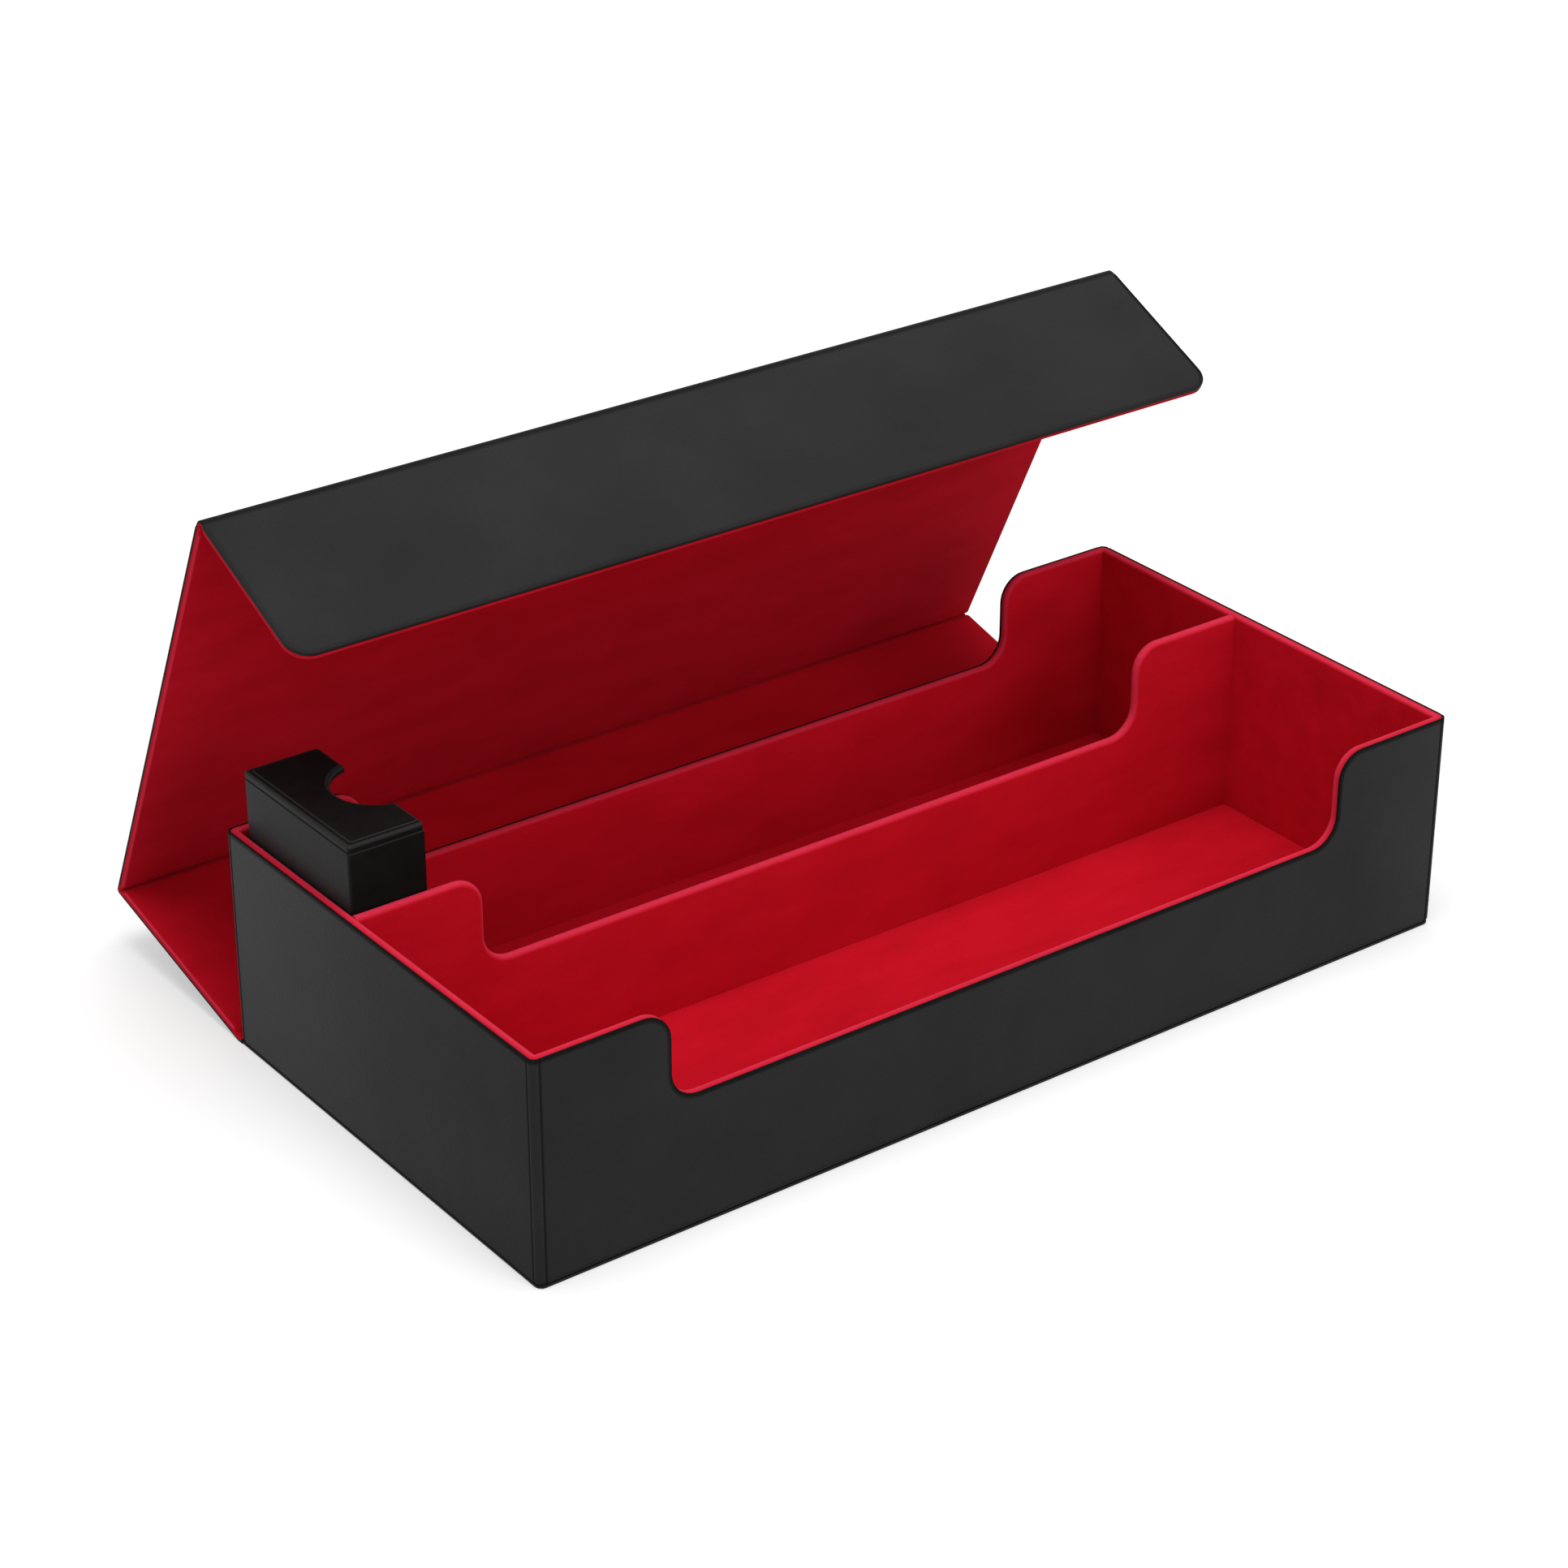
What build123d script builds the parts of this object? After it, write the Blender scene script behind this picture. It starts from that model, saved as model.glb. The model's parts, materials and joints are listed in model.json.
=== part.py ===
from build123d import *
import math
import os

# Outside of the tray, in millimetres; X runs along the length, Y to the hinge, Z up
case_length = 408.0
case_width = 195.0
case_height = 88.0

# Layers of the tray, from the outside in
wrap_leather = 0.9
wall_board = 2.4
suede = 0.7
floor_board = 2.5
base_sheet = 1.2
base_sheet_inset = 0.3

# Soft edges of the tray and of the lid, and the grooves where the leather bends round an upright corner
corner_radius = 3.2
foot_radius = 1.6
rim_bevel = 0.8
lining_edge_radius = 1.0
skin_edge_radius = 0.5
groove_radius = 0.5
groove_depth = 0.3

# Wide cut-out in each long wall and in the divider
shoulder_length = 54.5
cutout_depth = 35.5
shoulder_radius = 11.0
cutout_radius = 11.0

# Lane behind the divider
rear_lane_width = 75.0

# Lid: three panels that wrap the back, the top and the front of the tray
cover_skin = 1.0
cover_board = 1.7
lid_gap = 0.4
flap_reach = 67.0
flap_corner_radius = 9.0
roll_clearance = 0.3
miter_clearance = 0.3

# Angles of the lid as it stands open, and how far past square its folds close, in degrees
lid_lean = 75.4
top_overfold = 10.7
flap_overfold = 28.0
fold_margin = 6.0

# Disc magnets in the front wall and the flap
magnet_count = 4
magnet_end = 69.0
magnet_edge = 10.9
magnet_diameter = 12.0
magnet_thickness = 1.2
magnet_clearance = 0.1

# Insert box at the left end of the rear lane, standing raised
insert_length = 30.0
insert_clearance = 0.6
insert_play = 4.3
insert_sink = 2.4
insert_raise = 28.0
seat_clearance = 0.3
insert_skin = 0.7
insert_board = 1.6
insert_suede = 0.5
insert_edge_radius = 1.0
patch_thickness = 0.4
patch_margin = 2.0
notch_radius = 17.5
notch_depth = 13.5

# Heights and faces of the tray that follow from its layers
wall = wrap_leather + wall_board + suede
board_low = base_sheet + wrap_leather
floor_top = board_low + floor_board
lane_floor = floor_top + suede
cutout_floor = case_height - cutout_depth
board_face_x = case_length / 2 - wrap_leather
board_face_y = case_width / 2 - wrap_leather
lining_face_x = board_face_x - wall_board
lining_face_y = board_face_y - wall_board
inner_x = case_length / 2 - wall
inner_y = case_width / 2 - wall

# Divider between the lanes
divider_thickness = wall_board + 2 * suede
divider_rear = inner_y - rear_lane_width
divider_front = divider_rear - divider_thickness

# Lid folds: each lies on the middle of the panels that meet there
panel = cover_skin + cover_board + suede
roll_radius = panel / 2
fold_cut_radius = roll_radius + roll_clearance
spine_reach = case_height + lid_gap
top_reach = case_width + 2 * lid_gap + panel
spine_angle = 90.0 - lid_lean
top_angle = spine_angle + 90.0 + top_overfold
flap_angle = top_angle + 90.0
tightest_top_fold = 90.0 - top_overfold - fold_margin
tightest_flap_fold = 90.0 - flap_overfold - fold_margin


def along(start, angle, distance):
    """Point of the Y-Z plane at a distance and an angle, measured from +Y towards +Z."""
    turn = math.radians(angle)
    return (start[0] + distance * math.cos(turn), start[1] + distance * math.sin(turn))


# Magnets: set in from the case's ends and from the flap's free edge, facing each other when it is shut
magnet_pitch = (case_length - 2 * magnet_end) / (magnet_count - 1)
magnet_reach = flap_reach - magnet_edge
magnet_height = case_height + lid_gap + panel / 2 - magnet_reach

base_fold = (case_width / 2 + lid_gap + roll_radius, roll_radius)
top_fold = along(base_fold, spine_angle, spine_reach)
flap_fold = along(top_fold, top_angle, top_reach)


def span(x0, x1, y0, y1, z0, z1):
    """Box between two corners."""
    box = Box(x1 - x0, y1 - y0, z1 - z0, align=(Align.MIN, Align.MIN, Align.MIN))
    return Pos(x0, y0, z0) * box


# Tray


def tub(inset):
    """Tray block with soft upright corners, smaller by inset on its sides and foot."""
    low = base_sheet + inset
    half_length = case_length / 2 - inset
    half_width = case_width / 2 - inset
    block = span(-half_length, half_length, -half_width, half_width, low, case_height)
    return fillet(block.edges().filter_by(Axis.Z), corner_radius - inset)


def foot_edges(block):
    """Edges round the underside of a block."""
    return block.edges().group_by(Axis.Z)[0]


def wall_face(half_length, inset):
    """Outline of a long wall in X and Z, its rim and cut-out drawn in by inset."""
    rim = case_height - inset
    side = case_length / 2 - shoulder_length + inset
    low = cutout_floor - inset
    shoulder = shoulder_radius - inset
    bowl = cutout_radius + inset
    right = [(half_length, floor_top), (half_length, rim), (side, rim), (side, low)]
    left = [(-x, z) for x, z in reversed(right)]
    corners = [(x, 0, z) for x, z in right + left]
    return make_face(FilletPolyline(*corners, radius=[0, 0, shoulder, bowl, bowl, shoulder, 0, 0], close=True))


def slab(face, y0, y1):
    """Face in X and Z, thickened from one Y to another."""
    return extrude(Pos(0, y0, 0) * face, amount=y1 - y0, dir=(0, 1, 0))


def rim_edges(wall, y, half_length):
    """Edges of a long wall's rim on its face at one Y, without the foot and the two ends."""
    edges = wall.edges().filter_by_position(Axis.Y, y - suede / 2, y + suede / 2)
    return [e for e in edges if e.center().Z > floor_top and abs(e.center().X) < half_length - suede]


def magnet_places():
    """X of each magnet, spread about the middle."""
    return [(i - (magnet_count - 1) / 2) * magnet_pitch for i in range(magnet_count)]


def discs(diameter, places, thickness):
    """Row of discs standing on the local X-Y plane."""
    disc = Cylinder(diameter / 2, thickness, align=(Align.CENTER, Align.CENTER, Align.MIN))
    return [place * disc for place in places]


board_space = tub(wrap_leather)
board_space = chamfer(foot_edges(board_space), foot_radius - wrap_leather)
cutouts = span(-inner_x, inner_x, -case_width, case_width, floor_top, case_height)
cutouts -= slab(wall_face(inner_x, 0), -case_width, case_width)


def corner_grooves():
    """Two upright grooves at each corner, where the leather's bend begins and ends."""
    low = base_sheet + foot_radius
    groove = Cylinder(groove_radius, case_height - low, align=(Align.CENTER, Align.CENTER, Align.MIN))
    stand_off = groove_radius - groove_depth
    half_length = case_length / 2
    half_width = case_width / 2
    places = []
    for end in (-1, 1):
        for side in (-1, 1):
            places.append((end * (half_length - corner_radius), side * (half_width + stand_off)))
            places.append((end * (half_length + stand_off), side * (half_width - corner_radius)))
    return [Pos(x, y, low) * groove for x, y in places]


def make_wrap():
    """Leather round the walls and under the floor, with a soft foot."""
    block = tub(0)
    return fillet(foot_edges(block), foot_radius) - board_space - cutouts - corner_grooves()


def make_base_board():
    return board_space & span(-case_length, case_length, -case_width, case_width, board_low, floor_top)


def make_long_board(outer, inner):
    """Front or back wall board, between its outer and inner Y."""
    return slab(wall_face(board_face_x, suede), min(outer, inner), max(outer, inner)) & board_space


def make_long_lining(outer, inner, lane):
    """Suede of a long wall: the sheet inside and the soft turn over the board's rim."""
    whole = slab(wall_face(board_face_x, 0), min(outer, lane), max(outer, lane))
    whole = chamfer(rim_edges(whole, lane, board_face_x), rim_bevel)
    board = slab(wall_face(board_face_x, suede), min(outer, inner), max(outer, inner))
    sheet_low, sheet_high = min(inner, lane), max(inner, lane)
    ends = span(-board_face_x, board_face_x, sheet_low, sheet_high, floor_top, case_height)
    ends -= span(-inner_x, inner_x, sheet_low, sheet_high, floor_top, case_height)
    return (whole - board - ends) & board_space


def make_end_board(side):
    x0, x1 = sorted((side * lining_face_x, side * board_face_x))
    return span(x0, x1, -lining_face_y, lining_face_y, floor_top, case_height - suede)


def make_end_lining(side):
    """Suede of an end wall: the sheet inside and the soft turn over the board's rim."""
    x0, x1 = sorted((side * inner_x, side * board_face_x))
    whole = span(x0, x1, -lining_face_y, lining_face_y, floor_top, case_height)
    rim = whole.edges().filter_by(Axis.Y).group_by(Axis.Z)[-1].sort_by(Axis.X)
    return chamfer(rim[0 if side > 0 else -1], rim_bevel) - make_end_board(side)


def make_divider_board():
    return slab(wall_face(inner_x, suede), divider_front + suede, divider_rear - suede)


def make_divider_lining():
    whole = slab(wall_face(inner_x, 0), divider_front, divider_rear)
    rim = rim_edges(whole, divider_front, inner_x) + rim_edges(whole, divider_rear, inner_x)
    return chamfer(rim, rim_bevel) - make_divider_board()


def make_floor_lining(y0, y1):
    return span(-inner_x, inner_x, y0, y1, floor_top, lane_floor)


def wall_magnet_discs(diameter, gap):
    """Discs let into the outer face of the front board, gap deep below it."""
    depth = magnet_thickness + magnet_clearance
    face = Plane(origin=(0, -board_face_y + depth, magnet_height), x_dir=(1, 0, 0), z_dir=(0, -1, 0))
    places = [face * Pos(x, 0, 0) for x in magnet_places()]
    return discs(diameter, places, depth - gap)


def make_cover_base():
    """Sheet under the tray, ending in the roll that the lid swings on."""
    half_length = case_length / 2 - base_sheet_inset
    front = -case_width / 2 + base_sheet_inset
    sheet = span(-half_length, half_length, front, base_fold[0], 0, base_sheet)
    corners = sheet.edges().filter_by(Axis.Z).group_by(Axis.Y)[0]
    return fillet(corners, corner_radius - base_sheet_inset) + make_roll(base_fold)


# Lid


def make_roll(fold):
    """Round leather fold along X."""
    return Pos(0, fold[0], fold[1]) * Rot(0, 90, 0) * Cylinder(roll_radius, case_length)


def fold_plane(fold, angle):
    """Plane of a panel that starts at a fold: local Y runs along the panel, local Z to its lining."""
    turn = math.radians(angle)
    return Plane(origin=(0, fold[0], fold[1]), x_dir=(1, 0, 0), z_dir=(0, -math.sin(turn), math.cos(turn)))


def panel_face(reach, inset, tip_radius):
    """Outline of a panel, its free edges drawn in by inset; a tip radius makes the far edge free."""
    half = case_length / 2 - inset
    far = reach - inset if tip_radius else reach
    tip = tip_radius - inset if tip_radius else 0
    return make_face(
        FilletPolyline((-half, 0), (half, 0), (half, far), (-half, far), radius=[0, 0, tip, tip], close=True)
    )


def panel_layers(reach, cuts, tip_radius=0):
    """Skin, board and lining of a panel; the lining turns round the free edges of the board."""
    board_foot = -panel / 2 + cover_skin
    whole = panel_face(reach, 0, tip_radius)
    drawn_in = panel_face(reach, suede, tip_radius)
    skin = extrude(Pos(0, 0, -panel / 2) * whole, amount=cover_skin)
    skin = fillet(skin.faces().sort_by(Axis.Z)[0].edges(), skin_edge_radius)
    board = extrude(Pos(0, 0, board_foot) * drawn_in, amount=cover_board)
    lining = extrude(Pos(0, 0, board_foot) * whole, amount=cover_board + suede)
    lining = fillet(lining.faces().sort_by(Axis.Z)[-1].edges(), lining_edge_radius) - board
    return [layer - cuts for layer in (skin, board, lining)]


def fold_groove(place):
    """Room for a leather roll at a distance along the panel."""
    return Pos(0, place, 0) * Rot(0, 90, 0) * Cylinder(fold_cut_radius, 2 * case_length)


def miter(place, inward, fold):
    """Wedge off the lining side of a panel's end, so that two panels can close to a fold angle."""
    half = math.radians(fold / 2)
    start = miter_clearance / math.sin(half)
    corners = [(start, 0), (start + panel / math.tan(half), panel), (-panel, panel), (-panel, 0)]
    outline = make_face(Polyline(*[(0, place + inward * u, w) for u, w in corners], close=True))
    return extrude(Pos(-case_length, 0, 0) * outline, amount=2 * case_length, dir=(1, 0, 0))


def make_spine():
    cuts = fold_groove(0) + fold_groove(spine_reach) + miter(spine_reach, -1, tightest_top_fold)
    return [fold_plane(base_fold, spine_angle) * layer for layer in panel_layers(spine_reach, cuts)]


def make_top():
    cuts = fold_groove(0) + miter(0, 1, tightest_top_fold)
    cuts += fold_groove(top_reach) + miter(top_reach, -1, tightest_flap_fold)
    return [fold_plane(top_fold, top_angle) * layer for layer in panel_layers(top_reach, cuts)]


def flap_magnet_discs(diameter, gap):
    """Discs let into the lining side of the flap board, gap deep below it."""
    depth = magnet_thickness + magnet_clearance
    foot = -panel / 2 + cover_skin + cover_board - depth
    places = [Pos(x, magnet_reach, foot) for x in magnet_places()]
    return discs(diameter, places, depth - gap)


def make_flap():
    cuts = fold_groove(0) + miter(0, 1, tightest_flap_fold)
    skin, board, lining = panel_layers(flap_reach, cuts, flap_corner_radius)
    board -= flap_magnet_discs(magnet_diameter + 2 * magnet_clearance, 0)
    magnets = Compound(flap_magnet_discs(magnet_diameter, magnet_clearance))
    return [fold_plane(flap_fold, flap_angle) * piece for piece in (skin, board, lining, magnets)]


# Insert box, in its own frame with the corner at its lowest X, Y and Z

insert_width = rear_lane_width - insert_clearance - insert_play
insert_height = case_height - lane_floor - seat_clearance - insert_sink
insert_body = insert_height - 2 * patch_thickness
insert_shell = insert_skin + insert_board
insert_wall = insert_shell + insert_suede
insert_place = Pos(
    -inner_x + insert_clearance,
    divider_rear + insert_clearance,
    lane_floor + seat_clearance + insert_raise + patch_thickness,
)


def insert_span(inset, x0, x1, z0, z1):
    """Box of the insert, its two Y sides drawn in by inset."""
    return span(x0, x1, inset, insert_width - inset, z0, z1)


def notch(radius, z0, z1):
    """Upright cylinder of the thumb notch, about a line outside the middle of the open side."""
    cylinder = Cylinder(radius, z1 - z0, align=(Align.CENTER, Align.CENTER, Align.MIN))
    return Pos(insert_length + notch_radius - notch_depth, insert_width / 2, z0) * cylinder


def make_insert_wrap():
    """Leather round the box, turned in at the open side and at the notch in the top and bottom."""
    lip = insert_length - insert_skin
    outer = insert_span(0, 0, insert_length, 0, insert_body)
    outer = fillet(outer.edges(), insert_edge_radius)
    room = insert_span(insert_skin, insert_skin, lip, insert_skin, insert_body - insert_skin)
    room -= notch(notch_radius + insert_skin, insert_skin, insert_wall)
    room -= notch(notch_radius + insert_skin, insert_body - insert_wall, insert_body - insert_skin)
    mouth = insert_span(insert_wall, lip - insert_skin, 2 * insert_length, insert_wall, insert_body - insert_wall)
    return outer - room - mouth - notch(notch_radius, -insert_body, 2 * insert_body)


def make_insert_boards():
    """End, front, rear, top and bottom boards."""
    lip = insert_length - insert_skin
    high = insert_body - insert_skin
    end = insert_span(insert_skin, insert_skin, insert_shell, insert_skin, high)
    bottom = insert_span(insert_skin, insert_shell, lip, insert_skin, insert_shell)
    top = insert_span(insert_skin, insert_shell, lip, insert_body - insert_shell, high)
    cut = notch(notch_radius + insert_skin, -insert_body, 2 * insert_body)
    side_low = insert_shell
    side_high = insert_body - insert_shell
    front = span(insert_shell, lip, insert_skin, insert_shell, side_low, side_high)
    far_side = insert_width - insert_shell
    rear = span(insert_shell, lip, far_side, far_side + insert_board, side_low, side_high)
    return end, front, rear, top - cut, bottom - cut


def make_insert_lining():
    lip = insert_length - insert_skin
    outer = insert_span(insert_shell, insert_shell, lip, insert_shell, insert_body - insert_shell)
    room = insert_span(insert_wall, insert_wall, insert_length, insert_wall, insert_body - insert_wall)
    return outer - room - notch(notch_radius + insert_skin, -insert_body, 2 * insert_body)


def make_insert_patch(low):
    """Inset leather panel on the top or bottom."""
    patch = insert_span(patch_margin, patch_margin, insert_length - insert_edge_radius, low, low + patch_thickness)
    return patch - notch(notch_radius + insert_edge_radius, low, low + patch_thickness)


# Every piece under its own name

front_board = make_long_board(-board_face_y, -lining_face_y)
front_board -= wall_magnet_discs(magnet_diameter + 2 * magnet_clearance, 0)
spine_skin, spine_board, spine_lining = make_spine()
top_skin, top_board, top_lining = make_top()
flap_skin, flap_board, flap_lining, flap_magnets = make_flap()
insert_end, insert_front, insert_rear, insert_top, insert_bottom = make_insert_boards()

pieces = {
    "cover_base": make_cover_base(),
    "outer_wrap": make_wrap(),
    "base_board": make_base_board(),
    "front_board": front_board,
    "back_board": make_long_board(board_face_y, lining_face_y),
    "left_board": make_end_board(-1),
    "right_board": make_end_board(1),
    "divider_board": make_divider_board(),
    "front_lining": make_long_lining(-board_face_y, -lining_face_y, -inner_y),
    "back_lining": make_long_lining(board_face_y, lining_face_y, inner_y),
    "left_lining": make_end_lining(-1),
    "right_lining": make_end_lining(1),
    "divider_lining": make_divider_lining(),
    "front_floor_lining": make_floor_lining(-inner_y, divider_front),
    "rear_floor_lining": make_floor_lining(divider_rear, inner_y),
    "wall_magnets": Compound(wall_magnet_discs(magnet_diameter, magnet_clearance)),
    "spine_skin": spine_skin,
    "spine_board": spine_board,
    "spine_lining": spine_lining,
    "top_crease_roll": make_roll(top_fold),
    "top_skin": top_skin,
    "top_board": top_board,
    "top_lining": top_lining,
    "flap_crease_roll": make_roll(flap_fold),
    "flap_skin": flap_skin,
    "flap_board": flap_board,
    "flap_lining": flap_lining,
    "flap_magnets": flap_magnets,
    "insert_wrap": insert_place * make_insert_wrap(),
    "insert_end_board": insert_place * insert_end,
    "insert_front_board": insert_place * insert_front,
    "insert_rear_board": insert_place * insert_rear,
    "insert_top_board": insert_place * insert_top,
    "insert_bottom_board": insert_place * insert_bottom,
    "insert_lining": insert_place * make_insert_lining(),
    "insert_top_patch": insert_place * make_insert_patch(insert_body),
    "insert_bottom_patch": insert_place * make_insert_patch(-patch_thickness),
}

os.makedirs("parts", exist_ok=True)
for name, piece in pieces.items():
    export_step(piece, f"parts/{name}.step")
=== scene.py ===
import json
import math

import bmesh
import bpy
from mathutils import Matrix, Vector


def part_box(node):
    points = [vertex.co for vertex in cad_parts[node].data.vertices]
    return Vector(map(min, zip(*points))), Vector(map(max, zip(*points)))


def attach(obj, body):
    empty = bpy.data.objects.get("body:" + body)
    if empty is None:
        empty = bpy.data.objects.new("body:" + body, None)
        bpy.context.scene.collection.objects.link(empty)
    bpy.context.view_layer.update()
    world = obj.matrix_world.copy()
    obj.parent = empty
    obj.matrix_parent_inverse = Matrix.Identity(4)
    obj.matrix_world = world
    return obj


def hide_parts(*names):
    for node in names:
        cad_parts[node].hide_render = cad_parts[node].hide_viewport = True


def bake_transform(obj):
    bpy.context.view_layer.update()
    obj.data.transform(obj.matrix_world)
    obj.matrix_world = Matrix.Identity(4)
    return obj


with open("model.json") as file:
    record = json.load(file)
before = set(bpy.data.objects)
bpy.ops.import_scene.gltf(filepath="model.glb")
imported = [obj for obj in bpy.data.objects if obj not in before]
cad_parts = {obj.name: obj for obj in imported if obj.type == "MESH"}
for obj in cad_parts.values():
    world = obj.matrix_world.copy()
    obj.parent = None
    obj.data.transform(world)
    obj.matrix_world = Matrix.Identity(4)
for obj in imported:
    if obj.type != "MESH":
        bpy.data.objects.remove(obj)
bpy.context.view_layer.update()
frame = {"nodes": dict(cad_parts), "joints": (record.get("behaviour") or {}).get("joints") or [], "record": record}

MM = 0.001

# Camera of the photograph: place, the way it looks, lens and sensor in mm, and where its view starts
camera_place = Vector((-0.7774, -0.9986, 0.7445))
camera_forward = Vector((0.530438, 0.709850, -0.463410))
camera_lens = 90.51
sensor_width = 36.0
clip_start = 0.01

# Layers: suede, the lid's leather and its turned edge, and the tray's leather
suede = 0.7 * MM
cover_skin = 1.0 * MM
cover_edge = 1.5 * MM
wrap_leather = 0.9 * MM

# Soft edges: the turned suede rims, the cut leather edges and the upright corners
rim_radius = 1.3 * MM
rim_back_radius = 0.6 * MM
divider_rim_radius = 1.7 * MM
skin_edge = 0.5 * MM
lining_edge = 0.9 * MM
pad_edge = 0.35 * MM
insert_edge = 0.9 * MM
insert_corner = 1.4 * MM
insert_support = 0.3 * MM
seam = 0.45 * MM
patch_edge = 0.35 * MM
corner_radius = 3.2 * MM
foot_radius = 1.6 * MM
foot_turn = 3.0 * MM
groove_depth = 0.32 * MM
groove_half_width = 0.75 * MM
support = 0.8 * MM
fan = 0.4 * MM

# Wide cut-out of the long walls and the divider
shoulder_length = 54.5 * MM
cutout_floor = 52.5 * MM
shoulder_radius = 11.0 * MM
cutout_radius = 11.0 * MM

# Lid: how far the soft folds reach into the panels, for the leather and for the suede of each fold
skin_fold_reach = 3.0 * MM
base_fold_reach = 3.0 * MM
top_fold_reach = 3.6 * MM
flap_fold_reach = 4.6 * MM

# Lid: round forms of the flap and of the folds, and how far the flap's fold draws in at its ends
flap_corner_radius = 9.0 * MM
flap_bend = 3.2 * MM
flap_neck = 0.4 * MM
gutter_radius = 0.9 * MM

# Lid: half the angle between two panels where each fold is tightest, and the stretch that gives
base_half_angle = math.pi / 4
top_half_angle = math.radians(38.0)
flap_half_angle = math.radians(28.0)
top_spread = 0.3 * MM
flap_spread = 0.45 * MM

# Suede's way into a fold: places as shares of its reach, shares of its drop there, and the room it fills
slope_places = (1.0, 0.84, 0.66, 0.46, 0.27)
slope_drops = (0.0, 0.06, 0.30, 0.64, 1.0)
slope_fill = 0.62

# Suede tucked under the tray: distance from the fold and height, and clearance to the leather
base_tuck = [(2.4 * MM, -0.35 * MM), (1.6 * MM, 0.0), (0.8 * MM, 0.45 * MM)]
tuck_clearance = 0.1 * MM

# Insert box: leather, the whole wall with board and suede, and the thumb notch
insert_skin = 0.7 * MM
insert_shell = 2.3 * MM
insert_wall = 2.8 * MM
notch_radius = 17.5 * MM
notch_depth = 13.5 * MM

# Wear and painted light from 0 to 1: on leather it is painted shade, which darkens it; on suede it is partly worn
# nap and partly a painted highlight, which pales it. The rim's back is on suede, the rest on leather
rim_back_wear_and_highlight = 0.35
foot_painted_shade = 0.4
lip_painted_shade = 0.8
bend_painted_shade = 0.75
flap_rim_painted_shade = 0.25

# Colours
leather_dark = (0.0135, 0.0132, 0.0132)
leather_pale = (0.0200, 0.0196, 0.0196)
leather_grain = (0.010, 0.010, 0.010)
# Painted shade of the leather
leather_painted_shade = (0.0025, 0.0024, 0.0024)
suede_dark = (0.430, 0.0022, 0.0085)
suede_middle = (0.510, 0.0032, 0.0125)
suede_pale = (0.580, 0.0050, 0.0180)
suede_tufts = (0.380, 0.0012, 0.0060)
suede_nap = (0.620, 0.0070, 0.0240)
# Paler suede: partly worn nap, partly a painted highlight
suede_worn_and_highlight = (0.640, 0.0380, 0.0850)
suede_sheen = (1.0, 0.16, 0.24, 1.0)
board_dark = (0.27, 0.26, 0.24)
board_pale = (0.37, 0.36, 0.33)
board_flecks = (0.20, 0.19, 0.17)
steel_dark = (0.52, 0.52, 0.53)
steel_pale = (0.60, 0.60, 0.61)
white = (1.0, 1.0, 1.0, 1.0)
floor_grey = (0.60, 0.60, 0.60, 1.0)

# Floor and surroundings: the floor's size, where its glow starts and stops growing, and brightness
floor_radius = 6.0
floor_sides = 96
glow_near = 0.6
glow_far = 2.6
near_glow = 0.42
far_glow = 0.70
surround_level = 0.57

# Lamps: name, place, aim, size and power
lamp_aim = (0, 0.05, 0.08)
lamps = (
    ("key", (-0.15, -0.2, 2.4), (0, 0, 0.05), 1.4, 31),
    ("front", (0.2, -2.4, 0.9), lamp_aim, 1.6, 11),
    ("slope", (0.1, -1.8, 1.8), lamp_aim, 1.2, 8),
    ("left", (-2.2, 0.1, 0.9), lamp_aim, 1.4, 3.5),
)

# Steps on round stretches, and the angle up to which faces are shaded as one
arc_steps = 10
way_steps = 3
edge_steps = 5
smooth_angle = math.radians(40)

# Sockets of a mix of two colours
mix_factor = 0
mix_base = 6
mix_colour = 7
mix_result = 2


# Materials


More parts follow.
